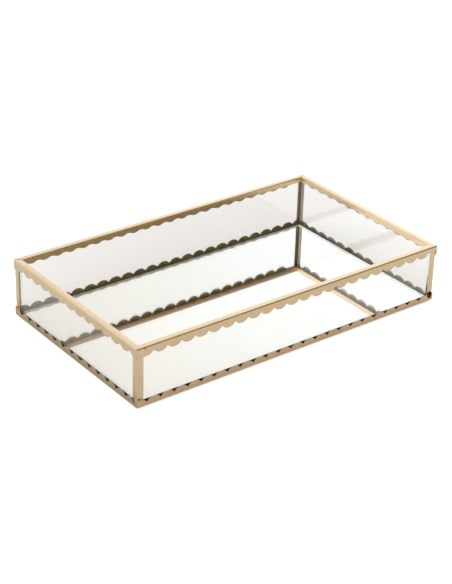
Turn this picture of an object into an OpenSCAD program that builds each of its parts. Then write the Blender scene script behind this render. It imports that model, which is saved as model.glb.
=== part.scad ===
// Dresser vanity tray: four clear glass walls and a mirror floor, held in a frame
// of folded gilt sheet-metal strips whose outer edges are cut into scallops.
// Origin: centre of the tray in plan, on the plane that the felt pads rest on.
// +X runs along the front from left to right, +Y to the back, +Z up. Millimetres.

/* [Tray] */
// Overall length, outside the metal
tray_l = 304.8; // [203.2:12.7:406.4]
// Overall width, outside the metal
tray_w = 177.8; // [127:12.7:254]
// Height of the metal and glass box, without the pads
box_h = 51.8; // [36:0.2:80]

/* [Sheet metal] */
// Thickness of the folded strips and corner angles
sheet = 0.6; // [0.5:0.05:0.7]
// Outside radius of the folds in the top rails and posts
fold_r = 0.9; // [0.8:0.05:1]
// Gap left open at a mitred corner
mitre_gap = 0.1; // [0.05:0.01:0.3]
// Wider gap at the back left mitre of the top rails
open_mitre_gap = 0.8; // [0.05:0.05:1]

/* [Scallops] */
// Nominal distance from one cusp to the next
pitch = 12.7; // [11:0.1:14]
// Height of a scallop from its cusps to its tip
scallop_h = 3.4; // [2.5:0.1:4]
// First cusp of a top rail, from its left end seen from outside
top_first = 15.5; // [14:0.1:16]
// First cusp of a bottom rail, from its left end seen from outside
bottom_first = 9.5; // [9:0.1:11]
// First cusp of the back bottom rail, from its left end seen from outside
back_bottom_first = 10.5; // [9:0.1:14]

/* [Top rails] */
// Width of the flat top face
rail_w = 5.4; // [5.2:0.1:6.5]
// Depth of the outer leg at the cusps
top_cusp = 4.9; // [4.5:0.1:5.5]
// Depth of the inner lip
lip_h = 4.8; // [3:0.1:5.4]

/* [Bottom rails] */
// Height of the outer leg at the cusps
bottom_cusp = 3.2; // [2.8:0.1:4.6]
// The same height on the back bottom rail, which is folded a little higher
back_bottom_cusp = 4.1; // [2.8:0.1:4.6]
// Outside radius of the fold at the foot, which is softer than the others
foot_fold_r = 1.2; // [0.8:0.05:1.5]
// Reach of the ledge that carries the floor
ledge_w = 9; // [8.5:0.5:12]

/* [Posts and solder] */
// Width of each leg of the corner angles
post_leg = 5.8; // [5:0.1:7]
// Radius of a solder drop
drop_r = 1.1; // [0.9:0.05:1.3]
// Radius of the large solder patch at the front right foot
patch_r = 3; // [1.5:0.1:3.1]

/* [Glass and floor] */
// Thickness of the wall glass
glass_t = 3; // [2.5:0.1:3]
// Thickness of the mirror's glass
mirror_t = 2.9; // [2.5:0.1:4]
// Gap between the walls and the edge of a centred floor
floor_gap = 1.3; // [0.6:0.1:2]
// How far the floor lies off centre, towards the front and towards the left
floor_shift = 0.5; // [0:0.1:0.5]
// Thickness of the silvering and its backing paint
silver_t = 0.1; // [0.1:0.05:0.2]
// Thickness of the board under the mirror
board_t = 0.5; // [0.4:0.1:2]
// Thickness of the felt pads under the corners
pad_t = 0.8; // [0.5:0.1:2]
// Radius of a felt pad
pad_r = 3.2; // [2.5:0.1:3.6]

/* [Hidden] */
$fn = 64;
slack = 0.05;       // running room between glass and metal
pane_end = 1.5;     // a long pane stops this far from the outside of a corner
pane_butt = 0.2;    // gap between two panes that meet at a corner
bend_gap = 0.05;    // the posts' ends stay clear of the inside of the folds
join = 0.3;         // how far a scallop runs up into its strip
block = 60;         // size of the blocks that cut ends off
pad_inset = 5.2;    // centre of a pad, from the outside of each wall
patch_z = 5.7;      // centre of the solder patch, above the foot of the metal
patch_in = 3.9;     // centre of the solder patch, from the corner

top_z = pad_t + box_h;                      // upper face of the top rails
ledge_z = pad_t + sheet;                    // upper face of the ledges
silver_z = ledge_z + board_t;               // underside of the silvering
mirror_z = silver_z + silver_t;             // underside of the mirror's glass
pane_n = 2 * sheet + slack;                 // outer face of a pane, in from the outside
floor_n = pane_n + glass_t + floor_gap;     // edge of a centred floor, in from the outside

FRONT = 0;
RIGHT = 1;
BACK = 2;
LEFT = 3;
FRONT_LEFT = 0;
FRONT_RIGHT = 1;
BACK_RIGHT = 2;
BACK_LEFT = 3;

GILT = [0.85, 0.71, 0.5];
SOLDER = [0.8, 0.68, 0.5];
FLUX = [0.2, 0.13, 0.08];
CLEAR = [0.85, 0.93, 0.9, 0.35];
SILVER = [0.9, 0.92, 0.92];
BOARD = [0.25, 0.24, 0.23];
FELT = [0.12, 0.12, 0.12];

// ---- places ----

function is_long(side) = side == FRONT || side == BACK;
function wall_len(side) = is_long(side) ? tray_l : tray_w;
function wall_dist(side) = (is_long(side) ? tray_w : tray_l) / 2;

// Children are drawn for a wall seen from outside: x runs along it to the right hand
// from its middle, y inwards from its outer face
module on_wall(side) {
    rotate([0, 0, 90 * side]) translate([0, -wall_dist(side), 0]) children();
}

// Children are drawn for a corner: x and y run along its two walls from the outer edge
module at_corner(corner) {
    x_sign = (corner == FRONT_RIGHT || corner == BACK_RIGHT) ? 1 : -1;
    y_sign = (corner == BACK_RIGHT || corner == BACK_LEFT) ? 1 : -1;
    translate([x_sign * tray_l / 2, y_sign * tray_w / 2, 0])
        rotate([0, 0, 90 * corner]) children();
}

// A flat shape drawn as seen from outside a wall, given the thickness of the sheet
module in_wall_sheet(z) {
    translate([0, sheet, z]) rotate([90, 0, 0]) linear_extrude(sheet) children();
}

// A section drawn with x inwards and y up, run along the whole of a wall
module along_wall(len, z) {
    translate([-len / 2, 0, z]) rotate([90, 0, 90]) linear_extrude(len) children();
}

// ---- flat shapes ----

// A block with one rounded corner, at the origin: x from 0 to w, y from 0 to h
module round_foot(w, h, r) {
    translate([0, r]) square([w, h - r]);
    translate([r, 0]) square([w - r, h]);
    translate([r, r]) circle(r);
}

// An L of sheet metal: one leg along x, one along y, folded at the origin
module angle_section(x_leg, y_leg, r = fold_r) {
    difference() {
        round_foot(x_leg, y_leg, r);
        translate([sheet, sheet]) round_foot(x_leg, y_leg, r - sheet);
    }
}

// Section of a top rail: outer leg at x 0, flat top at y 0, lip at the far side
module channel_section() {
    mirror([0, 1]) {
        intersection() {
            angle_section(rail_w, top_cusp);
            square([rail_w / 2, top_cusp]);
        }
        translate([rail_w, 0]) mirror([1, 0]) intersection() {
            angle_section(rail_w, lip_h);
            square([rail_w / 2, lip_h]);
        }
    }
}

// ---- scallops ----

// The pitch that divides a strip evenly, and how many whole scallops it has
function even_pitch(len) = len / round(len / pitch);
function scallop_count(len) = round(len / pitch) - 2;

// A single scallop centred on x 0, with its cusps at y 0 and its tip downwards
module scallop(p) {
    r = pow(p / 2, 2) / (2 * scallop_h) + scallop_h / 2;
    intersection() {
        translate([0, r - scallop_h]) circle(r);
        translate([-p / 2, -scallop_h]) square([p, scallop_h + join]);
    }
}

// The left end of a strip, from x 0 to its first cusp: straight, then half a scallop,
// both cut off at the given depth
module end_flap(room, depth, p) {
    intersection() {
        union() {
            translate([room - p / 2, 0]) scallop(p);
            translate([0, -scallop_h]) square([room - p / 2, scallop_h + join]);
        }
        translate([0, -depth]) square([room, depth + join]);
    }
}

// The scalloped edge of a whole strip, hanging from y 0 and centred on x 0
module scalloped_edge(len, first, left_depth, right_depth) {
    p = even_pitch(len);
    count = scallop_count(len);
    translate([-len / 2, 0]) {
        for (i = [0:count - 1]) translate([first + (i + 0.5) * p, 0]) scallop(p);
        if (left_depth > 0) end_flap(first, left_depth, p);
        if (right_depth > 0)
            translate([len, 0]) mirror([1, 0])
                end_flap(len - first - count * p, right_depth, p);
    }
}

// ---- parts that repeat ----

// Cuts both ends of a strip at 45 degrees, so that it meets its neighbours
module mitred(len, left_gap, right_gap) {
    difference() {
        children();
        for (end = [[-1, left_gap], [1, right_gap]])
            mirror([end[0] < 0 ? 1 : 0, 0, 0])
                translate([len / 2 - end[1] / sqrt(2), 0, 0]) rotate([0, 0, 45])
                    translate([0, -block / 2, -block]) cube([block, block, 3 * block]);
    }
}

// A folded channel over the upper edge of a wall
module top_rail(side, left_depth, right_depth, left_gap = mitre_gap, right_gap = mitre_gap) {
    len = wall_len(side);
    color(GILT) on_wall(side) mitred(len, left_gap, right_gap) {
        along_wall(len, top_z) channel_section();
        in_wall_sheet(top_z - top_cusp)
            scalloped_edge(len, top_first, left_depth, right_depth);
    }
}

// A folded angle around the foot of a wall, with the ledge that the floor lies on
module bottom_rail(side, first, cusp, left_depth, right_depth) {
    len = wall_len(side);
    on_wall(side) mitred(len, mitre_gap, mitre_gap) {
        along_wall(len, pad_t) angle_section(ledge_w, cusp, foot_fold_r);
        in_wall_sheet(pad_t + cusp)
            mirror([0, 1]) scalloped_edge(len, first, left_depth, right_depth);
    }
}

// A corner angle, inside the legs of the rails
module post(corner) {
    from_z = pad_t + foot_fold_r + bend_gap;
    to_z = top_z - fold_r - bend_gap;
    color(GILT) at_corner(corner) translate([sheet, sheet, from_z])
        linear_extrude(to_z - from_z) angle_section(post_leg, post_leg);
}

// Glass between the ledge and the inside of the top rail. The long panes run from
// corner to corner, and the short ones stand between them.
module pane(side) {
    end = is_long(side) ? pane_end : pane_n + glass_t + pane_butt;
    len = wall_len(side) - 2 * end;
    color(CLEAR) on_wall(side) translate([-len / 2, pane_n, ledge_z + slack])
        cube([len, glass_t, top_z - sheet - ledge_z - 2 * slack]);
}

// Half a drop of solder on the outside of a post, against the end of the rails' legs.
// It hangs below the given height, or stands on it.
module solder_drop(corner, z, hangs) {
    centre = drop_r + slack;
    color(SOLDER) at_corner(corner) difference() {
        translate([centre, centre, z]) sphere(drop_r);
        translate([0, 0, z + (hangs ? 0 : -block)]) cube(block);
        translate([sheet, sheet, z - block / 2]) linear_extrude(block)
            round_foot(block, block, fold_r);
    }
}

// ---- walls ----

module front_glass() pane(FRONT);
module right_glass() pane(RIGHT);
module back_glass() pane(BACK);
module left_glass() pane(LEFT);

// ---- top rails: an end is cut off level with the cusps where its depth is 0 ----

module front_top_rail() top_rail(FRONT, scallop_h, 0);
module right_top_rail() top_rail(RIGHT, scallop_h, 0);
module back_top_rail() top_rail(BACK, 0, 0, right_gap = open_mitre_gap);
module left_top_rail() top_rail(LEFT, scallop_h, scallop_h, left_gap = open_mitre_gap);

// ---- bottom rails ----

// The leg is hollowed out at its right end, where the solder patch fills it
module front_bottom_rail() {
    color(GILT) difference() {
        bottom_rail(FRONT, bottom_first, bottom_cusp, scallop_h, scallop_h);
        solder_patch_place() translate([0, 0, -block / 2]) cylinder(r = patch_r, h = block);
    }
}

module right_bottom_rail()
    color(GILT) bottom_rail(RIGHT, bottom_first, bottom_cusp, scallop_h, scallop_h);

module back_bottom_rail()
    color(GILT) bottom_rail(BACK, back_bottom_first, back_bottom_cusp, scallop_h, scallop_h);

module left_bottom_rail()
    color(GILT) bottom_rail(LEFT, bottom_first, bottom_cusp, scallop_h, scallop_h);

// ---- corner angles ----

module front_left_post() post(FRONT_LEFT);
module front_right_post() post(FRONT_RIGHT);
module back_right_post() post(BACK_RIGHT);
module back_left_post() post(BACK_LEFT);

// ---- solder ----

tip_z = top_z - top_cusp - scallop_h;           // lowest point of the top rails
foot_z = pad_t + bottom_cusp + scallop_h;       // highest point of the front bottom rail
back_foot_z = pad_t + max(bottom_cusp, back_bottom_cusp) + scallop_h;  // and of the back one

module upper_solder_front_left() solder_drop(FRONT_LEFT, tip_z, true);
module upper_solder_front_right() solder_drop(FRONT_RIGHT, tip_z, true);
module upper_solder_back_right() solder_drop(BACK_RIGHT, top_z - top_cusp, true);
module upper_solder_back_left() solder_drop(BACK_LEFT, tip_z, true);

module lower_solder_front_left() solder_drop(FRONT_LEFT, foot_z, false);
module lower_solder_back_right() solder_drop(BACK_RIGHT, back_foot_z, false);
module lower_solder_back_left() solder_drop(BACK_LEFT, back_foot_z, false);

// Children are drawn around z, which points inwards from the outer face of the front
module solder_patch_place() {
    translate([tray_l / 2 - patch_in, -tray_w / 2, pad_t + patch_z])
        rotate([-90, 0, 0]) children();
}

// A shallow dome, as thick as the sheet, that fills the hollow in the front bottom rail
module lower_solder_front_right() {
    rim_r = patch_r - slack;
    dome_r = rim_r * rim_r / (2 * sheet) + sheet / 2;
    color(FLUX) solder_patch_place() rotate_extrude() intersection() {
        translate([0, dome_r]) circle(dome_r, $fn = 360);
        square([rim_r, sheet]);
    }
}

// ---- floor ----

// A plate the size of the floor
module floor_plate(z, thickness) {
    edge = floor_n - floor_shift;
    translate([edge - tray_l / 2, edge - tray_w / 2, z])
        cube([tray_l - 2 * floor_n, tray_w - 2 * floor_n, thickness]);
}

module mirror_glass() color(CLEAR) floor_plate(mirror_z, mirror_t);
module mirror_silvering() color(SILVER) floor_plate(silver_z, silver_t);
module backing_board() color(BOARD) floor_plate(ledge_z, board_t);

// Four discs under the corners of the ledges
module felt_pads() {
    for (corner = [FRONT_LEFT:BACK_LEFT])
        color(FELT) at_corner(corner) translate([pad_inset, pad_inset, 0])
            cylinder(r = pad_r, h = pad_t);
}

front_glass();
right_glass();
back_glass();
left_glass();
front_top_rail();
right_top_rail();
back_top_rail();
left_top_rail();
front_bottom_rail();
right_bottom_rail();
back_bottom_rail();
left_bottom_rail();
front_left_post();
front_right_post();
back_right_post();
back_left_post();
upper_solder_front_left();
upper_solder_front_right();
upper_solder_back_right();
upper_solder_back_left();
lower_solder_front_left();
lower_solder_front_right();
lower_solder_back_right();
lower_solder_back_left();
mirror_glass();
mirror_silvering();
backing_board();
felt_pads();
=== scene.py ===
"""Dresser vanity tray: the looks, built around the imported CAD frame.

Folded gilt strips, corner angles, solder, glass, mirror, backing board and felt pads.
Lengths are in metres, in the row frame: +X along the front from left to right, +Y to the
back, +Z up. Places come from the frame's own boxes.
"""

import math

import bmesh
import bpy
from mathutils import Matrix, Vector, noise


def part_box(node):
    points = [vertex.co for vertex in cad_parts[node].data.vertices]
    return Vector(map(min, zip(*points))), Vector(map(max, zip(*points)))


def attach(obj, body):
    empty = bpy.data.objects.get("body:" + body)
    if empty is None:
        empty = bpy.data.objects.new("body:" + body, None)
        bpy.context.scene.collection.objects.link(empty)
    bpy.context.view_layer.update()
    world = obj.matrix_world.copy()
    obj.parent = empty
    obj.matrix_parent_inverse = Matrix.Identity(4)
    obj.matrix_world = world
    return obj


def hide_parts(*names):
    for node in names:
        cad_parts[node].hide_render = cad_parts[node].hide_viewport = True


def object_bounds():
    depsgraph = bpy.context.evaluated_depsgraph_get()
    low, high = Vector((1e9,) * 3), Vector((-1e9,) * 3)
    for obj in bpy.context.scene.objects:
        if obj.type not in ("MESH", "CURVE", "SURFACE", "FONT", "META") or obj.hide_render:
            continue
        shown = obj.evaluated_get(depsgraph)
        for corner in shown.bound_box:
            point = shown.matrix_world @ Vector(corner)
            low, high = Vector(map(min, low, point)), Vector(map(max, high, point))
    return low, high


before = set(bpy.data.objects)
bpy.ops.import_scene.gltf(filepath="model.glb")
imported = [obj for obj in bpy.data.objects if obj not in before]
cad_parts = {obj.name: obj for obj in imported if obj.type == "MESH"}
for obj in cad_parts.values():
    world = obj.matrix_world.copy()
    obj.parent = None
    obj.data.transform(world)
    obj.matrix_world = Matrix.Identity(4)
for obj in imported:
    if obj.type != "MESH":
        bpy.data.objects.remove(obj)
CAD_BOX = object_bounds()

MM = 0.001
BODY = "root"

# ---- the design's own sizes, as in the CAD ----

SHEET = 0.6 * MM                # thickness of the folded strips and corner angles
FOLD_R = 0.9 * MM               # outside radius of the folds in top rails and posts
FOOT_FOLD_R = 1.2 * MM          # outside radius of the softer fold at the foot
PITCH = 12.7 * MM               # nominal distance between cusps
SCALLOP_H = 3.4 * MM            # from the cusps to a scallop's tip
TOP_FIRST = 15.5 * MM           # first cusp of a top rail, from its left end
BOTTOM_FIRST = 9.5 * MM         # first cusp of a bottom rail
BACK_BOTTOM_FIRST = 10.5 * MM   # first cusp of the back bottom rail
LIP_H = 4.8 * MM                # depth of a top rail's inner lip
POST_LEG = 5.8 * MM             # width of a corner angle's legs
PAD_R = 3.2 * MM                # radius of a felt pad
MITRE_GAP = 0.1 * MM
OPEN_MITRE_GAP = 0.8 * MM

# ---- sizes read from the frame ----

LOW, HIGH = CAD_BOX
TRAY_L = HIGH.x - LOW.x
TRAY_W = HIGH.y - LOW.y
TOP_Z = HIGH.z
TOP_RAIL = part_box("front_top_rail")
BOTTOM_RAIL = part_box("front_bottom_rail")
RAIL_W = TOP_RAIL[1].y - TOP_RAIL[0].y
TOP_CUSP = TOP_Z - TOP_RAIL[0].z - SCALLOP_H
FOOT_Z = BOTTOM_RAIL[0].z
LEDGE_W = BOTTOM_RAIL[1].y - BOTTOM_RAIL[0].y
POST_FROM, POST_TO = (corner.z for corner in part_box("front_left_post"))

# ---- how finely the sheet metal is drawn ----

SCALLOP_STEPS = 12
LEG_ROWS = 4
LEG_TO_FOLD = 0.35 * MM         # last row of a leg before its fold
FOLD_STEPS = 5
# Fold rows that take the painted shade line, a dark reflection painted into the front top rail's colour
FOLD_SHADE_STEPS = (0, 1)
FLAT_ROWS = 4
LIP_ROWS = 3
POST_ROWS = 24
CUT_BEVEL = 0.1 * MM

FRONT, RIGHT, BACK, LEFT = range(4)
FRONT_LEFT, FRONT_RIGHT, BACK_RIGHT, BACK_LEFT = range(4)
SIDES = ("front", "right", "back", "left")
CORNERS = ("front_left", "front_right", "back_right", "back_left")


# ---------------------------------------------------------------- places

def wall_length(side):
    return TRAY_L if side in (FRONT, BACK) else TRAY_W


def on_wall(side):
    """Local x runs along a wall to the right as seen from outside, y inwards, z up."""
    distance = (TRAY_W if side in (FRONT, BACK) else TRAY_L) / 2
    turn = Matrix.Rotation(math.radians(90 * side), 4, "Z")
    return turn @ Matrix.Translation((0, -distance, 0))


def at_corner(corner):
    """Local x and y run along a corner's two walls from the tray's outer edge."""
    x_sign = 1 if corner in (1, 2) else -1
    y_sign = 1 if corner in (2, 3) else -1
    place = Matrix.Translation((x_sign * TRAY_L / 2, y_sign * TRAY_W / 2, 0))
    return place @ Matrix.Rotation(math.radians(90 * corner), 4, "Z")


def wobble(point, seed, reach):
    """Slow unevenness of hand-bent sheet, in metres. reach is its wavelength."""
    return noise.noise(Vector(point) / reach + Vector((seed * 7.3, seed * 3.1, seed * 5.7)))


# ---------------------------------------------------------------- mesh helpers

def finish_piece(obj, materials, replaced=()):
    """Gives a piece its materials, puts it on its body and hides the CAD nodes it stands for."""
    for material in materials:
        obj.data.materials.append(material)
    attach(obj, BODY)
    if replaced:
        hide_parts(*replaced)
    return obj


def object_from(name, bm):
    bmesh.ops.recalc_face_normals(bm, faces=bm.faces[:])
    mesh = bpy.data.meshes.new(name)
    bm.to_mesh(mesh)
    bm.free()
    mesh.shade_smooth()
    obj = bpy.data.objects.new(name, mesh)
    bpy.context.scene.collection.objects.link(obj)
    return obj


def soften(obj, width, segments=2, angle=40):
    bevel = obj.modifiers.new("edges", "BEVEL")
    bevel.width = width
    bevel.segments = segments
    bevel.limit_method = "ANGLE"
    bevel.angle_limit = math.radians(angle)
    bevel.harden_normals = True
    return obj


def sheet_object(name, outer, inner, wear_and_fold_shade):
    """A closed sheet between two equal grids of points. Faces are outside 0, inside 1, cut edge 2.
    Its last argument is 1 on cut edges, 0 on the faces and -1 along a fold's line of painted shade."""
    rows, cols = len(outer), len(outer[0])
    bm = bmesh.new()
    layer = bm.verts.layers.float.new("wear_and_fold_shade")
    grids = []
    for grid in (outer, inner):
        grids.append([[bm.verts.new(p) for p in line] for line in grid])
        for line, values in zip(grids[-1], wear_and_fold_shade):
            for vert, value in zip(line, values):
                vert[layer] = value
    for index, grid in enumerate(grids):
        for i in range(rows - 1):
            for j in range(cols - 1):
                ring = (grid[i][j], grid[i + 1][j], grid[i + 1][j + 1], grid[i][j + 1])
                bm.faces.new(ring).material_index = index
    rim = [(0, j) for j in range(cols - 1)] + [(i, cols - 1) for i in range(rows - 1)]
    rim += [(rows - 1, j) for j in range(cols - 1, 0, -1)] + [(i, 0) for i in range(rows - 1, 0, -1)]
    for (i, j), (k, m) in zip(rim, rim[1:] + rim[:1]):
        ring = (grids[0][i][j], grids[0][k][m], grids[1][k][m], grids[1][i][j])
        bm.faces.new(ring).material_index = 2
    return soften(object_from(name, bm), CUT_BEVEL)


def join_rings(bm, low, high, segments):
    """Faces between two rings of points, either of which may be a single point."""
    for k in range(segments):
        corners = [low[k % len(low)], low[(k + 1) % len(low)],
                   high[(k + 1) % len(high)], high[k % len(high)]]
        bm.faces.new(list(dict.fromkeys(corners)))


def bead_object(name, rings, segments=14, seed=0, rough=0.12):
    """A closed bead of solder: rings are (centre, x radius, y radius) from one end to the other,
    around local Z. rough is how lumpy it is."""
    bm = bmesh.new()
    loops = []
    for centre, rx, ry in rings:
        loop = []
        for k in range(segments):
            a = math.tau * k / segments
            point = Vector(centre) + Vector((rx * math.cos(a), ry * math.sin(a), 0))
            swell = 1 + rough * wobble(point, seed, 0.9 * MM)
            loop.append(bm.verts.new(Vector(centre) + (point - Vector(centre)) * swell))
        loops.append(loop)
    for low, high in zip(loops, loops[1:]):
        for k in range(segments):
            bm.faces.new((low[k], low[(k + 1) % segments], high[(k + 1) % segments], high[k]))
    for loop in (loops[0], loops[-1]):
        tip = bm.verts.new(sum((v.co for v in loop), Vector()) / segments)
        for k in range(segments):
            bm.faces.new((tip, loop[k], loop[(k + 1) % segments]))
    return bm


# ---------------------------------------------------------------- sheet-metal strips

def even_pitch(length):
    return length / round(length / PITCH)


def scallop_drop(dx, pitch):
    """How far a scallop's round edge stands past its cusps, dx from its middle."""
    radius = (pitch / 2) ** 2 / (2 * SCALLOP_H) + SCALLOP_H / 2
    return math.sqrt(max(radius ** 2 - dx ** 2, 0)) - (radius - SCALLOP_H)


def flap_edge(room, depth, pitch):
    """(x, drop) from a strip's end to its first cusp: straight, then half a scallop."""
    straight = room - pitch / 2
    points = [(straight * k / 6, min(depth, SCALLOP_H)) for k in range(6)]
    for k in range(SCALLOP_STEPS // 2 + 1):
        dx = pitch / 2 * k / (SCALLOP_STEPS // 2)
        points.append((straight + dx, min(depth, scallop_drop(dx, pitch))))
    return points


def scalloped_edge(length, first, left_depth, right_depth):
    """(x, drop) along a whole strip, x from its middle."""
    pitch = even_pitch(length)
    count = round(length / pitch) - 2
    points = flap_edge(first, left_depth, pitch)
    for i in range(count):
        for k in range(1, SCALLOP_STEPS + 1):
            dx = pitch * (k / SCALLOP_STEPS - 0.5)
            points.append((first + pitch * i + pitch / 2 + dx, scallop_drop(dx, pitch)))
    right = flap_edge(length - first - count * pitch, right_depth, pitch)
    points += [(length - x, drop) for x, drop in right[-2::-1]]
    return [(x - length / 2, drop) for x, drop in points]


def fold_points(turn, radius=FOLD_R):
    """Outer and inner point of a fold, turn from 0 on the leg to 1 on the flat face."""
    a = math.radians(90 * turn)
    inner_r = radius - SHEET
    outer = (radius - radius * math.cos(a), radius - radius * math.sin(a))
    inner = (radius - inner_r * math.cos(a), radius - inner_r * math.sin(a))
    return outer, inner


def strip_section(edge, width, lip, fold, fold_shade):
    """A strip's section as (outer, inner, cut edge and fold shade value) rows: n inwards from the
    wall's face, d away from the strip's flat face. It runs up the leg, round the fold and over
    the flat face, then down a lip if there is one. The last argument is how dark the painted shade line on
    the outer fold is."""
    rows = []
    for k in range(LEG_ROWS):
        d = edge + (fold + LEG_TO_FOLD - edge) * k / (LEG_ROWS - 1)
        rows.append(((0, d), (SHEET, d), 1 if k == 0 else 0))
    # Negative values on the first fold rows paint a dark line of shade on the outer fold
    for k in range(FOLD_STEPS + 1):
        rows.append((*fold_points(k / FOLD_STEPS, fold), -fold_shade if k in FOLD_SHADE_STEPS else 0))
    flat_to = width - FOLD_R if lip else width
    for k in range(1, FLAT_ROWS + (0 if lip else 1)):
        n = fold + (flat_to - fold) * k / FLAT_ROWS
        rows.append(((n, 0), (n, SHEET), 0))
    if lip:
        for k in range(FOLD_STEPS, -1, -1):
            outer, inner = fold_points(k / FOLD_STEPS)
            rows.append(((width - outer[0], outer[1]), (width - inner[0], inner[1]), 0))
        for k in range(1, LIP_ROWS + 1):
            d = FOLD_R + (lip - FOLD_R) * k / LIP_ROWS
            rows.append(((width, d), (width - SHEET, d), 1 if k == LIP_ROWS else 0))
    return rows


def mitre(x, n, half, left_gap, right_gap):
    """Moves x near a strip's ends so that they lie on its 45 degree mitres."""
    gap = (left_gap if x < 0 else right_gap) / math.sqrt(2)
    reach = 1.5 * n + 2 * MM
    start = half - reach
    if abs(x) <= start:
        return x
    share = (abs(x) - start) / reach
    return math.copysign(start + share * (reach - n - gap), x)


def strip_object(name, side, edge_points, cusp, width, lip, fold, face_z, up, gaps, fold_shade=0):
    """A folded strip on a wall. up is -1 where its leg hangs from a flat top face and 1 where
    the leg stands on a flat underside."""
    place = on_wall(side)
    half = wall_length(side) / 2
    outer_grid, inner_grid, wear_and_fold_shade_grid = [], [], []
    for x, drop in edge_points:
        lines = ([], [])
        wear_and_fold_shade = []
        for outer, inner, row_wear_and_fold_shade in strip_section(cusp + drop, width, lip, fold, fold_shade):
            for line, (n, d) in zip(lines, (outer, inner)):
                at = Vector((mitre(x, n, half, *gaps), n, face_z + up * d))
                at.y += 0.07 * MM * max(0, wobble(at, side + up, 38 * MM))
                at.z -= 0.05 * MM * max(0, wobble(at, side + 9, 30 * MM)) * (up < 0)
                line.append(place @ at)
            wear_and_fold_shade.append(row_wear_and_fold_shade)
        outer_grid.append(lines[0])
        inner_grid.append(lines[1])
        wear_and_fold_shade_grid.append(wear_and_fold_shade)
    return sheet_object(name, outer_grid, inner_grid, wear_and_fold_shade_grid)


def top_rail(side, left_depth, right_depth, left_gap=MITRE_GAP, right_gap=MITRE_GAP):
    edge = scalloped_edge(wall_length(side), TOP_FIRST, left_depth, right_depth)
    name = SIDES[side] + "_top_rail"
    # Only the front top rail gets the painted shade line along its outer fold
    rail = strip_object(name + "_folded", side, edge, TOP_CUSP, RAIL_W, LIP_H, FOLD_R, TOP_Z, -1,
                        (left_gap, right_gap), 1 if side == FRONT else 0)
    return finish_piece(rail, gilt_set(side), [name])


def bottom_rail(side, first, left_depth, right_depth):
    edge = scalloped_edge(wall_length(side), first, left_depth, right_depth)
    name = SIDES[side] + "_bottom_rail"
    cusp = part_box(name)[1].z - FOOT_Z - SCALLOP_H
    rail = strip_object(name + "_folded", side, edge, cusp, LEDGE_W, 0, FOOT_FOLD_R, FOOT_Z, 1,
                        (MITRE_GAP, MITRE_GAP))
    return finish_piece(rail, gilt_set(side), [name])


def post(corner):
    """A corner angle: one leg, the fold, the other leg, drawn in rings up its height."""
    place = at_corner(corner) @ Matrix.Translation((SHEET, SHEET, 0))
    section = []
    for k in range(LEG_ROWS):
        n = POST_LEG + (FOLD_R - POST_LEG) * k / LEG_ROWS
        section.append(((0, n), (SHEET, n), 1 if k == 0 else 0))
    section += [(*fold_points(k / FOLD_STEPS), 0) for k in range(FOLD_STEPS + 1)]
    for k in range(1, LEG_ROWS + 1):
        n = FOLD_R + (POST_LEG - FOLD_R) * k / LEG_ROWS
        section.append(((n, 0), (n, SHEET), 1 if k == LEG_ROWS else 0))
    outer_grid, inner_grid, wear_and_fold_shade_grid = [], [], []
    for i in range(POST_ROWS + 1):
        z = POST_FROM + (POST_TO - POST_FROM) * i / POST_ROWS
        lines = ([], [])
        for outer, inner, row_wear_and_fold_shade in section:
            for line, (x, y) in zip(lines, (outer, inner)):
                at = Vector((x, y, z))
                inwards = 0.05 * MM * max(0, wobble(at, corner + 20, 25 * MM))
                line.append(place @ (at + Vector((inwards, inwards, 0))))
        outer_grid.append(lines[0])
        inner_grid.append(lines[1])
        wear_and_fold_shade_grid.append([row_wear_and_fold_shade for outer, inner, row_wear_and_fold_shade in section])
    name = CORNERS[corner] + "_post"
    angle = sheet_object(name + "_folded", outer_grid, inner_grid, wear_and_fold_shade_grid)
    return finish_piece(angle, GILT_POST_LIT, [name])


# ---------------------------------------------------------------- solder

def corner_bead(name, corner, seam_from, seam_to, swell, seed):
    """Solder along the seam where two strips meet at a corner, ending in a drop on the post."""
    rings = []
    steps = 16
    for i in range(steps + 1):
        t = i / steps
        body = math.sin(math.pi * min(t * 6, 0.5)) if t < 0.5 else math.sin(math.pi * min((1 - t) * 6, 0.5))
        drop = math.exp(-((t - 0.86) / 0.1) ** 2)
        inset = 0.42 * MM + 0.55 * MM * drop
        radius = (0.3 * MM + swell * drop) * max(body, 0.05)
        rings.append(((inset, inset, seam_from + (seam_to - seam_from) * t), radius, radius))
    bm = bead_object(name, rings, seed=seed, rough=0.25)
    bm.transform(at_corner(corner))
    obj = object_from(name, bm)
    soften_by_subdivision(obj)
    return obj


def soften_by_subdivision(obj, levels=1):
    smooth = obj.modifiers.new("smooth", "SUBSURF")
    smooth.levels = levels
    smooth.render_levels = levels
    return obj


def run_object(name, side, points, seed, inset=0.0, ragged=0.3):
    """A flat dark run on a wall's face, or inset from it, for burnt flux and glue and for painted shade in
    gaps and notches. points are (x, z, half width, thickness), and ragged is how uneven its edges are."""
    bm = bmesh.new()
    segments = 12
    loops = []
    for index, (x, z, half_width, thickness) in enumerate(points):
        before = Vector(points[max(index - 1, 0)][:2])
        after = Vector(points[min(index + 1, len(points) - 1)][:2])
        along = (after - before).normalized()
        across = Vector((-along.y, along.x))
        loop = []
        for k in range(segments):
            a = math.tau * k / segments
            reach = half_width * math.cos(a) * (1 + ragged * noise.noise(Vector((x / MM, z / MM, k + seed))))
            at = Vector((x, z)) + across * reach
            loop.append(bm.verts.new((at.x, inset - thickness * math.sin(a), at.y)))
        loops.append(loop)
    for low, high in zip(loops, loops[1:]):
        for k in range(segments):
            bm.faces.new((low[k], low[(k + 1) % segments], high[(k + 1) % segments], high[k]))
    bm.faces.new(loops[0])
    bm.faces.new(loops[-1])
    bm.transform(on_wall(side))
    return soften_by_subdivision(object_from(name, bm))


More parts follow.
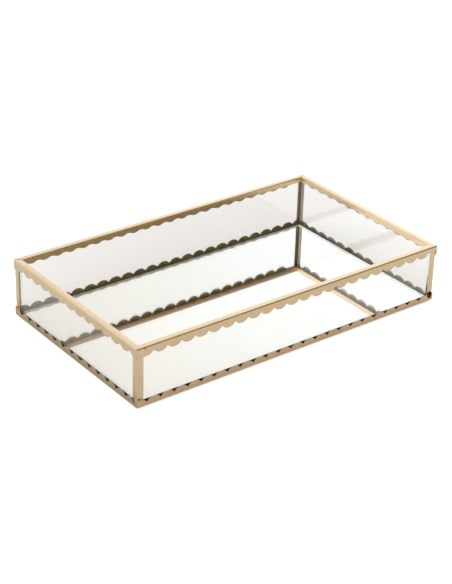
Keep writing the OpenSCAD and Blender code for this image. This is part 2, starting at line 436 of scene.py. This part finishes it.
def blot_object(name, side, centre, reach, bulge, inset, seed):
    """A ragged low dome of solder or flux on a wall. centre and reach are (x, z), and bulge is
    how far it stands out from its back, which lies inset from the wall's face."""
    bm = bmesh.new()
    segments, steps = 28, 7
    rings = []
    for step in range(steps + 1):
        share = math.sin(math.radians(90) * step / steps)
        ring = []
        for k in range(segments if step else 1):
            a = math.tau * k / segments
            ragged = 1 + 0.22 * noise.noise(Vector((1.6 * math.cos(a), 1.6 * math.sin(a), seed)))
            x = centre[0] + reach[0] * share * ragged * math.cos(a)
            z = centre[1] + reach[1] * share * ragged * math.sin(a)
            lumps = 1 + 0.35 * wobble((x, z, 0), seed, 1.1 * MM)
            height = bulge * math.sqrt(max(1 - share ** 4, 0)) * lumps
            ring.append(bm.verts.new((x, inset - height, z)))
        rings.append(ring)
    for low, high in zip(rings, rings[1:]):
        join_rings(bm, low, high, segments)
    rim = rings[-1]
    back = bm.verts.new((centre[0], inset + 0.05 * MM, centre[1]))
    for k in range(segments):
        bm.faces.new((rim[k], rim[(k + 1) % segments], back))
    bm.transform(on_wall(side))
    return soften_by_subdivision(object_from(name, bm))


def burnt_patch():
    """The large dark patch at the front right foot, which runs over the rail and the post."""
    low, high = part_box("lower_solder_front_right")
    centre = ((low.x + high.x) / 2, (low.z + high.z) / 2)
    reach = ((high.x - low.x) / 2 * 1.08, (high.z - low.z) / 2 * 1.08)
    patch = blot_object("burnt_patch", FRONT, centre, reach, 0.9 * MM, SHEET, 3)
    finish_piece(patch, [FLUX_AND_GAP_SHADE], ["lower_solder_front_right"])


def flux_and_gap_shade_marks():
    """Thin dark lines and blots near the corners: burnt flux, and at the front left corner painted shade in a
    slot and a gap. Places are in millimetres from the corner along the wall and above the metal's foot."""
    half_w, half_l = TRAY_W / 2 / MM, TRAY_L / 2 / MM
    marks = (
        # Painted shade: a dark run in the slot between the left rail's last scallop and the post
        ("slot_painted_shade", LEFT, ((half_w - 6.9, 7.0, 0.5), (half_w - 5.8, 6.4, 1.1), (half_w - 4.8, 5.5, 0.8),
                             (half_w - 4.0, 4.7, 1.1), (half_w - 3.3, 3.7, 0.4)), 0.0),
        # Painted shade: a dark dash in the gap between the front flap's top and the post
        ("gap_painted_shade", FRONT, ((0.7 - half_l, 7.6, 0.12), (1.8 - half_l, 7.8, 0.3), (3.2 - half_l, 7.7, 0.35),
                              (4.9 - half_l, 7.3, 0.12)), 0.6),
        ("flux_dot", FRONT, ((6.6 - half_l, 51.1, 0.2), (7.0 - half_l, 50.7, 0.5), (7.4 - half_l, 50.2, 0.45),
                             (7.8 - half_l, 49.8, 0.15)), 0.0),
        ("flux_end", FRONT, ((half_l - 1.9, 51.2, 0.15), (half_l - 1.1, 51.0, 0.4), (half_l - 0.4, 50.7, 0.5),
                             (half_l - 0.1, 50.2, 0.2)), 0.2),
        ("flux_foot", LEFT, ((5.8 - half_w, 9.6, 0.3), (4.8 - half_w, 9.0, 0.7), (3.6 - half_w, 8.4, 0.6),
                             (2.4 - half_w, 7.6, 0.2)), 0.6),
    )
    for seed, (name, side, places, inset) in enumerate(marks):
        points = [(x * MM, FOOT_Z + z * MM, half * MM, 0.16 * MM) for x, z, half in places]
        run = run_object(name, side, points, seed, inset * MM)
        finish_piece(run, [FLUX_AND_GAP_SHADE])


def notch_painted_shade(side):
    """A dark strip of painted shade between the foot of a pane and its strip's leg, which darkens
    the notches between the scallops."""
    middle, half_height = FOOT_Z + 3.2 * MM, 2.15 * MM
    steps = round(wall_length(side) / (3 * MM))
    reach = wall_length(side) / 2 - SHEET - POST_LEG - 0.3 * MM
    points = [(reach * (2 * k / steps - 1), middle, half_height, 0.24 * MM) for k in range(steps + 1)]
    seam = run_object(SIDES[side] + "_notch_painted_shade", side, points, side + 5, 0.93 * MM, 0.06)
    finish_piece(seam, [NOTCH_SHADE])


def corner_glue():
    """A dark run of glue in the inner corner between the front and the right pane, thick at
    the mirror and gone halfway up."""
    run = []
    for height, half in ((4.3, 1.0), (8.0, 0.8), (12.0, 0.6), (16.0, 0.4), (20.0, 0.25), (24.0, 0.08)):
        run.append((TRAY_L / 2 - 5.3 * MM, FOOT_Z + height * MM, half * MM, 0.2 * MM))
    glue = run_object("corner_glue", FRONT, run, 11, 4.5 * MM)
    finish_piece(glue, [FLUX_AND_GAP_SHADE])


# ---------------------------------------------------------------- material helpers

def new_material(name):
    material = bpy.data.materials.new(name)
    material.use_nodes = True
    return material, material.node_tree, material.node_tree.nodes["Principled BSDF"]


def add(tree, kind, **values):
    """A node with its properties and inputs set by name."""
    node = tree.nodes.new(kind)
    for key, value in values.items():
        socket = key.replace("_", " ")
        if hasattr(node, key):
            setattr(node, key, value)
        else:
            node.inputs[socket].default_value = value
    return node


def object_noise(tree, scale, detail=2.0, roughness=0.5, stretch=(1, 1, 1)):
    """Noise in the object's own coordinates. scale is in cycles per metre."""
    coords = add(tree, "ShaderNodeTexCoord")
    mapping = add(tree, "ShaderNodeMapping")
    mapping.inputs["Scale"].default_value = stretch
    tree.links.new(coords.outputs["Object"], mapping.inputs["Vector"])
    texture = add(tree, "ShaderNodeTexNoise", Scale=scale, Detail=detail, Roughness=roughness)
    tree.links.new(mapping.outputs["Vector"], texture.inputs["Vector"])
    return texture.outputs["Fac"]


def remap(tree, value, low, high, to_low, to_high):
    node = add(tree, "ShaderNodeMapRange")
    node.interpolation_type = "SMOOTHSTEP"
    for name, number in (("From Min", low), ("From Max", high), ("To Min", to_low), ("To Max", to_high)):
        node.inputs[name].default_value = number
    tree.links.new(value, node.inputs["Value"])
    return node.outputs["Result"]


def mix_colour(tree, factor, first, second):
    node = add(tree, "ShaderNodeMix", data_type="RGBA")
    tree.links.new(factor, node.inputs["Factor"])
    for name, value in (("A", first), ("B", second)):
        socket = [s for s in node.inputs if s.name == name and s.type == "RGBA"][0]
        if isinstance(value, tuple):
            socket.default_value = (*value, 1)
        else:
            tree.links.new(value, socket)
    return [s for s in node.outputs if s.type == "RGBA"][0]


def bump(tree, height, distance, strength=1.0, below=None):
    node = add(tree, "ShaderNodeBump", Strength=strength, Distance=distance)
    tree.links.new(height, node.inputs["Height"])
    if below:
        tree.links.new(below, node.inputs["Normal"])
    return node.outputs["Normal"]


# ---------------------------------------------------------------- materials

GILT = (0.75, 0.575, 0.355)
GILT_WARM = (0.73, 0.55, 0.335)
GILT_WORN = (0.60, 0.48, 0.33)
# Painted shade: the dark line along the front top rail's outer fold, standing in for a dark reflection
FOLD_SHADE = (0.20, 0.13, 0.06)
# Painted light: the posts' outside is a lighter copy of GILT
GILT_POSTS_LIT = (0.77, 0.62, 0.43)
# Painted light and shade: the insides are copies of one colour, darker on the front and back strips and
# lighter on the side strips and the posts
INSIDE_LONG_SHADED = (0.60, 0.56, 0.31)
INSIDE_SHORT_LIT = (0.74, 0.72, 0.57)
INSIDE_POSTS_LIT = (0.70, 0.63, 0.40)


def metal_material(name, axis, light, dark, rough):
    """Satin gilt sheet, brushed along one axis, a little duller at its cut edges, and darkened with painted
    shade along a fold where the mesh marks it.
    """
    material, tree, shader = new_material(name)
    stretch = [1, 1, 1]
    stretch[axis] = 0.04
    grain = object_noise(tree, 5200, 2, 0.6, stretch)
    cloud = object_noise(tree, 70, 3, 0.55)
    uneven = object_noise(tree, 260, 2, 0.5)
    wear_and_fold_shade = add(tree, "ShaderNodeAttribute", attribute_name="wear_and_fold_shade")
    worn_share = remap(tree, wear_and_fold_shade.outputs["Fac"], 0.35, 1.0, 0.0, 0.75)
    # Negative values give the painted shade line on a fold
    fold_shade_share = remap(tree, wear_and_fold_shade.outputs["Fac"], -0.9, -0.1, 0.8, 0.0)
    colour = mix_colour(tree, remap(tree, cloud, 0.35, 0.7, 0.0, 1.0), light, dark)
    colour = mix_colour(tree, worn_share, colour, GILT_WORN)
    colour = mix_colour(tree, fold_shade_share, colour, FOLD_SHADE)
    tree.links.new(colour, shader.inputs["Base Color"])
    shader.inputs["Metallic"].default_value = 1.0
    tree.links.new(remap(tree, grain, 0.25, 0.75, rough - 0.03, rough + 0.05), shader.inputs["Roughness"])
    shader.inputs["Coat Weight"].default_value = 0.7
    shader.inputs["Coat Roughness"].default_value = 0.22
    soft = bump(tree, uneven, 0.04 * MM, 0.2)
    tree.links.new(bump(tree, grain, 0.008 * MM, 0.25, soft), shader.inputs["Normal"])
    return material


def edge_material():
    """The sheared edges of the sheet, rougher and duller than its faces."""
    material, tree, shader = new_material("gilt_cut_edge")
    speckle = object_noise(tree, 2600, 3, 0.6)
    colour = mix_colour(tree, remap(tree, speckle, 0.3, 0.7, 0, 1), GILT_WORN, GILT_WARM)
    tree.links.new(colour, shader.inputs["Base Color"])
    shader.inputs["Metallic"].default_value = 1.0
    tree.links.new(remap(tree, speckle, 0.3, 0.7, 0.35, 0.5), shader.inputs["Roughness"])
    tree.links.new(bump(tree, speckle, 0.03 * MM, 0.5), shader.inputs["Normal"])
    return material


def solder_material():
    """Gilded solder: lumpy, a little greyer than the sheet, with brown in its hollows."""
    material, tree, shader = new_material("gilt_solder")
    lumps = object_noise(tree, 900, 3, 0.6)
    colour = mix_colour(tree, remap(tree, lumps, 0.35, 0.65, 0, 1), (0.52, 0.40, 0.25), (0.80, 0.66, 0.46))
    tree.links.new(colour, shader.inputs["Base Color"])
    shader.inputs["Metallic"].default_value = 1.0
    tree.links.new(remap(tree, lumps, 0.3, 0.7, 0.42, 0.24), shader.inputs["Roughness"])
    tree.links.new(bump(tree, lumps, 0.12 * MM, 0.5), shader.inputs["Normal"])
    return material


def flux_and_shade_material(name, dark, light):
    """Burnt flux, almost black brown, crusted and patchy; the same dark crust also paints shade into gaps and
    notches.
    """
    material, tree, shader = new_material(name)
    crust = object_noise(tree, 1400, 4, 0.65)
    colour = mix_colour(tree, remap(tree, crust, 0.35, 0.7, 0, 1), dark, light)
    tree.links.new(colour, shader.inputs["Base Color"])
    tree.links.new(remap(tree, crust, 0.3, 0.7, 0.5, 0.8), shader.inputs["Roughness"])
    shader.inputs["Specular IOR Level"].default_value = 0.2
    tree.links.new(bump(tree, crust, 0.15 * MM, 0.7), shader.inputs["Normal"])
    return material


def glass_material(name, tint, rough=0.0):
    """Clear float glass, green in its depth, with the faintest wipe marks. rough is more than 0
    on a ground edge."""
    material, tree, shader = new_material(name)
    smears = object_noise(tree, 45, 4, 0.6, (1, 1, 2.5))
    shader.inputs["Base Color"].default_value = (*tint, 1)
    shader.inputs["Transmission Weight"].default_value = 1.0
    shader.inputs["IOR"].default_value = 1.5
    tree.links.new(remap(tree, smears, 0.45, 0.8, rough, rough + 0.035), shader.inputs["Roughness"])
    depth = add(tree, "ShaderNodeVolumeAbsorption", Density=5.0)
    depth.inputs["Color"].default_value = (0.62, 0.83, 0.66, 1)
    tree.links.new(depth.outputs["Volume"], tree.nodes["Material Output"].inputs["Volume"])
    return material


def mirror_material():
    """The silvered underside of the floor's glass, a trace duller in patches."""
    material, tree, shader = new_material("mirror_silver")
    patches = object_noise(tree, 28, 3, 0.5)
    colour = mix_colour(tree, remap(tree, patches, 0.3, 0.7, 0, 1), (0.885, 0.845, 0.79), (0.87, 0.83, 0.78))
    tree.links.new(colour, shader.inputs["Base Color"])
    shader.inputs["Metallic"].default_value = 1.0
    tree.links.new(remap(tree, patches, 0.4, 0.8, 0.0, 0.02), shader.inputs["Roughness"])
    return material


def mirror_edge_shade_material():
    """The floor's front and left edges: dark olive as painted shade, patchy in tone."""
    material, tree, shader = new_material("mirror_edge_painted_shade")
    creep = object_noise(tree, 500, 3, 0.6)
    colour = mix_colour(tree, remap(tree, creep, 0.3, 0.7, 0, 1), (0.05, 0.04, 0.015), (0.09, 0.075, 0.035))
    tree.links.new(colour, shader.inputs["Base Color"])
    tree.links.new(remap(tree, creep, 0.3, 0.7, 0.3, 0.5), shader.inputs["Roughness"])
    tree.links.new(bump(tree, creep, 0.03 * MM, 0.4), shader.inputs["Normal"])
    return material


def paint_material():
    """Grey protective paint behind the silvering."""
    material, tree, shader = new_material("silvering_paint")
    peel = object_noise(tree, 700, 3, 0.5)
    colour = mix_colour(tree, peel, (0.22, 0.24, 0.24), (0.30, 0.32, 0.31))
    tree.links.new(colour, shader.inputs["Base Color"])
    tree.links.new(remap(tree, peel, 0.3, 0.7, 0.35, 0.5), shader.inputs["Roughness"])
    tree.links.new(bump(tree, peel, 0.05 * MM, 0.4), shader.inputs["Normal"])
    return material


def board_material():
    """Black flocked paper on the backing board."""
    material, tree, shader = new_material("flocked_board")
    fibres = object_noise(tree, 3200, 4, 0.7)
    nap = object_noise(tree, 60, 3, 0.55)
    shades = mix_colour(tree, remap(tree, nap, 0.3, 0.7, 0, 1), (0.012, 0.012, 0.013), (0.03, 0.029, 0.03))
    flecks = mix_colour(tree, remap(tree, fibres, 0.55, 0.8, 0, 1), shades, (0.075, 0.073, 0.07))
    tree.links.new(flecks, shader.inputs["Base Color"])
    shader.inputs["Roughness"].default_value = 0.9
    shader.inputs["Sheen Weight"].default_value = 0.6
    shader.inputs["Sheen Roughness"].default_value = 0.45
    tree.links.new(bump(tree, fibres, 0.15 * MM, 0.8), shader.inputs["Normal"])
    return material


def felt_material():
    """Grey-black felt of matted fibres."""
    material, tree, shader = new_material("felt")
    fibres = object_noise(tree, 2400, 5, 0.75, (1, 0.35, 1))
    tangle = object_noise(tree, 900, 3, 0.6)
    colour = mix_colour(tree, remap(tree, fibres, 0.35, 0.7, 0, 1), (0.02, 0.02, 0.021), (0.09, 0.088, 0.085))
    tree.links.new(colour, shader.inputs["Base Color"])
    shader.inputs["Roughness"].default_value = 0.95
    shader.inputs["Sheen Weight"].default_value = 0.5
    matted = bump(tree, tangle, 0.3 * MM, 0.7)
    tree.links.new(bump(tree, fibres, 0.12 * MM, 0.9, matted), shader.inputs["Normal"])
    return material


def metal_set(axis, name, light, dark, inside):
    """Materials for a strip's outside, its inside and its cut edges."""
    inside_dark = tuple(0.85 * value for value in inside)
    return (metal_material("gilt_" + name, axis, light, dark, 0.27),
            metal_material("gilt_inside_" + name, axis, inside, inside_dark, 0.5), CUT_EDGE)


CUT_EDGE = edge_material()
GILT_LONG = metal_set(0, "along_x", GILT, GILT_WARM, INSIDE_LONG_SHADED)
GILT_SHORT = metal_set(1, "along_y", GILT, GILT_WARM, INSIDE_SHORT_LIT)
# The corner posts take the lighter, painted-light copies of the gilt
GILT_POST_LIT = metal_set(2, "upright_lit", GILT_POSTS_LIT, GILT, INSIDE_POSTS_LIT)
SOLDER = solder_material()
# Dark crust for burnt flux and glue, and for the painted shade in the slot and gap marks
FLUX_AND_GAP_SHADE = flux_and_shade_material("burnt_flux_and_gap_shade", (0.009, 0.006, 0.003), (0.055, 0.024, 0.008))
# Painted shade for the notches between the bottom scallops
NOTCH_SHADE = flux_and_shade_material("notch_painted_shade", (0.020, 0.014, 0.006), (0.050, 0.038, 0.016))
WALL_GLASS = glass_material("wall_glass", (0.985, 0.988, 0.984))
FLOOR_GLASS = glass_material("floor_glass", (0.99, 0.99, 0.985))
GROUND_EDGE = glass_material("ground_edge", (0.93, 0.95, 0.90), 0.3)
MIRROR = mirror_material()
# Painted shade on the floor glass's front and left edges only
MIRROR_EDGE_SHADE = mirror_edge_shade_material()


def gilt_set(side):
    return GILT_LONG if side in (FRONT, BACK) else GILT_SHORT


# ---------------------------------------------------------------- glass, floor and pads

def clad_cad_node(node, material, bevel):
    """A CAD node that keeps its shape: its edges are eased and it takes a finished material."""
    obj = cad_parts[node]
    weld = obj.modifiers.new("weld", "WELD")
    weld.merge_threshold = 0.001 * MM
    if bevel:
        soften(obj, bevel, segments=3)
    obj.data.materials.clear()
    obj.data.materials.append(material)
    return obj


def mirror_plate():
    """The floor's glass with its silvered underside, just above the silvering's paint."""
    low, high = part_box("mirror_glass")
    low.z += 0.02 * MM
    ease = 0.08 * MM
    bm = bmesh.new()
    bmesh.ops.create_cube(bm, size=1)
    for vert in bm.verts:
        vert.co = [low[k] if vert.co[k] < 0 else high[k] for k in range(3)]
    edges = [e for e in bm.edges if (e.verts[0].co.z + e.verts[1].co.z) / 2 > low.z + ease]
    bmesh.ops.bevel(bm, geom=edges, offset=ease, segments=2, profile=0.7, affect="EDGES")
    for face in bm.faces:
        face.smooth = False
        if face.calc_center_median().z < low.z + ease / 10:
            face.material_index = 1
        # Edges facing the front and left take the painted shade; those facing the back and right are ground
        # glass
        elif min(face.normal.x, face.normal.y) < -0.9:
            face.material_index = 2
        elif max(face.normal.x, face.normal.y) > 0.9:
            face.material_index = 3
    obj = object_from("mirror_plate", bm)
    obj.data.shade_flat()
    materials = [FLOOR_GLASS, MIRROR, MIRROR_EDGE_SHADE, GROUND_EDGE]
    return finish_piece(obj, materials, ["mirror_glass"])


PAD_SEGMENTS = 40
# Share of a pad's radius and of its thickness, from the middle of its foot to that of its top
PAD_PROFILE = [(0.0, 0.0), (0.55, 0.0), (0.9, 0.0), (0.985, 0.12), (1.0, 0.4), (0.985, 0.8),
               (0.93, 0.99), (0.55, 1.0), (0.0, 1.0)]


def felt_discs():
    """Four felt pads with soft rims and a slightly ragged outline, flat where they rest."""
    pad_low, pad_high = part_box("felt_pads")
    thickness = pad_high.z - pad_low.z
    rail_corner = Vector((TRAY_L / 2, TRAY_W / 2))
    centre_in = rail_corner - Vector((pad_high.x, pad_high.y))
    radius = PAD_R
    segments = PAD_SEGMENTS
    bm = bmesh.new()
    for corner in range(4):
        middle = (centre_in.x + radius, centre_in.y + radius, pad_low.z)
        place = at_corner(corner) @ Matrix.Translation(middle)
        rings = []
        for share, height in PAD_PROFILE:
            ring = []
            for k in range(segments if share else 1):
                a = math.tau * k / segments
                ragged = 1 + 0.025 * noise.noise(Vector((6 * math.cos(a), 6 * math.sin(a), corner + height)))
                r = radius * share * min(ragged, 1.02)
                at = Vector((r * math.cos(a), r * math.sin(a), thickness * height))
                ring.append(bm.verts.new(place @ at))
            rings.append(ring)
        for low, high in zip(rings, rings[1:]):
            join_rings(bm, low, high, segments)
    return finish_piece(object_from("felt_discs", bm), [felt_material()], ["felt_pads"])


# ---------------------------------------------------------------- studio

CAMERA_AT = Vector((-720.8, -922.5, 643.3)) * MM
CAMERA_TURN = math.radians(37.94)      # to the right of straight at the front
CAMERA_DOWN = math.radians(28.22)
CAMERA_ROLL = math.radians(1.69)
LENS = 97.9

SKY = (1.02, 0.985, 0.965)
WINDOW = (1.36, 1.53, 1.66)
LEFT_LAMP = (1.75, 1.85, 1.95)
SHADE = (0.31, 0.225, 0.135)
SHADE_EDGE = (0.74, 0.63, 0.45)
DARK_CORNER = (0.04, 0.03, 0.02)
FLOOR_SIZE = 14.0
FLOOR_SEEN = (0.93, 0.93, 0.93)
FLOOR_GLOW = (0.6, 0.6, 0.6)           # keeps the contact shadow on the seen floor faint
FLOOR_THROUGH_GLASS = (0.86, 0.84, 0.83)
THROUGH_GLOW = (0.15, 0.165, 0.17)
# The reflected floor's back half is painted darker and cooler than its front as painted shade
FLOOR_REFLECTED_FRONT = (0.90, 0.89, 0.87)
FLOOR_REFLECTED_BACK = (0.83, 0.855, 0.84)
# Painted shadow along the tray's left wall, on the floor seen in reflections
FLOOR_REFLECTED_SHADOW = (0.55, 0.57, 0.56)


def camera():
    data = bpy.data.cameras.new("camera")
    data.lens = LENS
    data.clip_start = 0.05
    obj = bpy.data.objects.new("camera", data)
    forward = Vector((math.sin(CAMERA_TURN) * math.cos(CAMERA_DOWN),
                      math.cos(CAMERA_TURN) * math.cos(CAMERA_DOWN), -math.sin(CAMERA_DOWN)))
    aim = forward.to_track_quat("-Z", "Y").to_matrix().to_4x4()
    obj.matrix_world = Matrix.Translation(CAMERA_AT) @ aim @ Matrix.Rotation(CAMERA_ROLL, 4, "Z")
    bpy.context.scene.collection.objects.link(obj)
    bpy.context.scene.camera = obj


def direction(turn, rise):
    """A unit direction: degrees from +X towards +Y, and degrees above the horizon."""
    turn, rise = math.radians(turn), math.radians(rise)
    return Vector((math.cos(turn) * math.cos(rise), math.sin(turn) * math.cos(rise), math.sin(rise)))


def lobe(tree, coords, centre, outer, inner):
    """0 outside an angle from a direction and 1 inside a smaller one, in degrees."""
    facing = add(tree, "ShaderNodeVectorMath", operation="DOT_PRODUCT")
    facing.inputs[1].default_value = centre
    tree.links.new(coords.outputs["Generated"], facing.inputs[0])
    edges = math.cos(math.radians(outer)), math.cos(math.radians(inner))
    return remap(tree, facing.outputs["Value"], *edges, 0.0, 1.0)


def studio_world():
    """A bright even room, with a wide window low at the back right and a dark wall at the front
    right, which the folds and the inner lips reflect."""
    world = bpy.data.worlds.new("studio")
    world.use_nodes = True
    tree = world.node_tree
    coords = add(tree, "ShaderNodeTexCoord")
    colour = mix_colour(tree, lobe(tree, coords, direction(36, 6), 36, 12), SKY, WINDOW)
    colour = mix_colour(tree, lobe(tree, coords, direction(141, 25), 20, 6), colour, LEFT_LAMP)
    colour = mix_colour(tree, lobe(tree, coords, direction(-54, 26), 44, 22), colour, SHADE)
    colour = mix_colour(tree, lobe(tree, coords, direction(-72, 24), 17, 11), colour, SHADE_EDGE)
    colour = mix_colour(tree, lobe(tree, coords, direction(-56, 6), 22, 12), colour, DARK_CORNER)
    background = tree.nodes["Background"]
    tree.links.new(colour, background.inputs["Color"])
    background.inputs["Strength"].default_value = 1.0
    bpy.context.scene.world = world


def stage_floor(name, z, glow=(0, 0, 0)):
    """A wide flat floor. Its colour is left to the caller."""
    bm = bmesh.new()
    bmesh.ops.create_grid(bm, x_segments=8, y_segments=8, size=FLOOR_SIZE / 2)
    bm.transform(Matrix.Translation((0, 0, z)))
    obj = object_from(name, bm)
    material, tree, shader = new_material(name)
    shader.inputs["Roughness"].default_value = 0.9
    shader.inputs["Specular IOR Level"].default_value = 0.0
    shader.inputs["Emission Color"].default_value = (*glow, 1)
    shader.inputs["Emission Strength"].default_value = 1.0
    obj.data.materials.append(material)
    return obj, tree, shader


def studio_floors():
    """Three floors, one for each way of being seen: straight on, white; through glass, a shade
    darker; in reflections, darker and warmer, so that metal stands out against the rest, with painted shade
    darker and cooler behind the tray and a painted shadow along its left wall."""
    seen, tree, shader = stage_floor("floor", 0.0, FLOOR_GLOW)
    shader.inputs["Base Color"].default_value = (*FLOOR_SEEN, 1)
    seen.visible_glossy = False
    seen.visible_transmission = False
    seen.visible_diffuse = False
    seen.visible_shadow = False
    through, tree, shader = stage_floor("floor_through_glass", -0.1 * MM, THROUGH_GLOW)
    shader.inputs["Base Color"].default_value = (*FLOOR_THROUGH_GLASS, 1)
    through.visible_camera = False
    through.visible_glossy = False
    through.visible_diffuse = False
    through.visible_shadow = False
    reflected, tree, shader = stage_floor("floor_in_reflections", -0.2 * MM)
    coords = add(tree, "ShaderNodeTexCoord")
    across = add(tree, "ShaderNodeVectorMath", operation="DOT_PRODUCT")
    across.inputs[1].default_value = direction(128, 0)
    tree.links.new(coords.outputs["Object"], across.inputs[0])
    behind = remap(tree, across.outputs["Value"], -0.1, 0.1, 0.0, 1.0)
    colour = mix_colour(tree, behind, FLOOR_REFLECTED_FRONT, FLOOR_REFLECTED_BACK)
    place = add(tree, "ShaderNodeSeparateXYZ")
    tree.links.new(coords.outputs["Object"], place.inputs[0])
    wall = -TRAY_L / 2
    open_colour = colour
    # Painted shadow: a darker band just left of the tray's left wall
    painted_shadow_left = remap(tree, place.outputs["X"], wall - 22 * MM, wall - 4 * MM, 0.0, 1.0)
    past_left = remap(tree, place.outputs["X"], wall - 1 * MM, wall + 1 * MM, 0.0, 1.0)
    colour = mix_colour(tree, painted_shadow_left, colour, FLOOR_REFLECTED_SHADOW)
    colour = mix_colour(tree, past_left, colour, open_colour)
    tree.links.new(colour, shader.inputs["Base Color"])
    reflected.visible_camera = False
    reflected.visible_transmission = False


def render_depth():
    """Enough bounces for glass seen through glass and a mirror."""
    cycles = bpy.context.scene.cycles
    cycles.max_bounces = 24
    cycles.glossy_bounces = 12
    cycles.transmission_bounces = 24
    bpy.context.scene.view_settings.view_transform = "Standard"


# ---------------------------------------------------------------- the tray

camera()
studio_world()
studio_floors()
render_depth()

for side in range(4):
    clad_cad_node(SIDES[side] + "_glass", WALL_GLASS, 0.25 * MM)

top_rail(FRONT, SCALLOP_H, 0)
top_rail(RIGHT, SCALLOP_H, 0)
top_rail(BACK, 0, 0, right_gap=OPEN_MITRE_GAP)
top_rail(LEFT, SCALLOP_H, SCALLOP_H, left_gap=OPEN_MITRE_GAP)

bottom_rail(FRONT, BOTTOM_FIRST, SCALLOP_H, SCALLOP_H)
bottom_rail(RIGHT, BOTTOM_FIRST, SCALLOP_H, SCALLOP_H)
bottom_rail(BACK, BACK_BOTTOM_FIRST, SCALLOP_H, SCALLOP_H)
bottom_rail(LEFT, BOTTOM_FIRST, SCALLOP_H, SCALLOP_H)

# Solder beads: how far each swells, starts in from the strip's face and runs past its CAD node
UPPER_BEAD = 0.75 * MM
THIN_BEAD = 0.35 * MM
LOWER_BEAD = 0.7 * MM
BEAD_SET_IN = 0.5 * MM
UPPER_BEAD_PAST = 0.3 * MM
LOWER_BEAD_PAST = 0.2 * MM

for corner in range(4):
    post(corner)
    upper = "upper_solder_" + CORNERS[corner]
    low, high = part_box(upper)
    swell = THIN_BEAD if corner == FRONT_RIGHT else UPPER_BEAD
    bead = corner_bead(upper + "_bead", corner, TOP_Z - BEAD_SET_IN, low.z - UPPER_BEAD_PAST, swell,
                       corner)
    finish_piece(bead, [SOLDER], [upper])
    lower = "lower_solder_" + CORNERS[corner]
    if corner != FRONT_RIGHT:
        low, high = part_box(lower)
        bead = corner_bead(lower + "_bead", corner, FOOT_Z + BEAD_SET_IN, high.z + LOWER_BEAD_PAST,
                           LOWER_BEAD, corner + 4)
        finish_piece(bead, [SOLDER], [lower])

burnt_patch()
flux_and_gap_shade_marks()
# Only the front and left walls get the painted shade strip in their notches
notch_painted_shade(FRONT)
notch_painted_shade(LEFT)
corner_glue()

mirror_plate()
clad_cad_node("mirror_silvering", paint_material(), 0)
clad_cad_node("backing_board", board_material(), 0.2 * MM)
felt_discs()
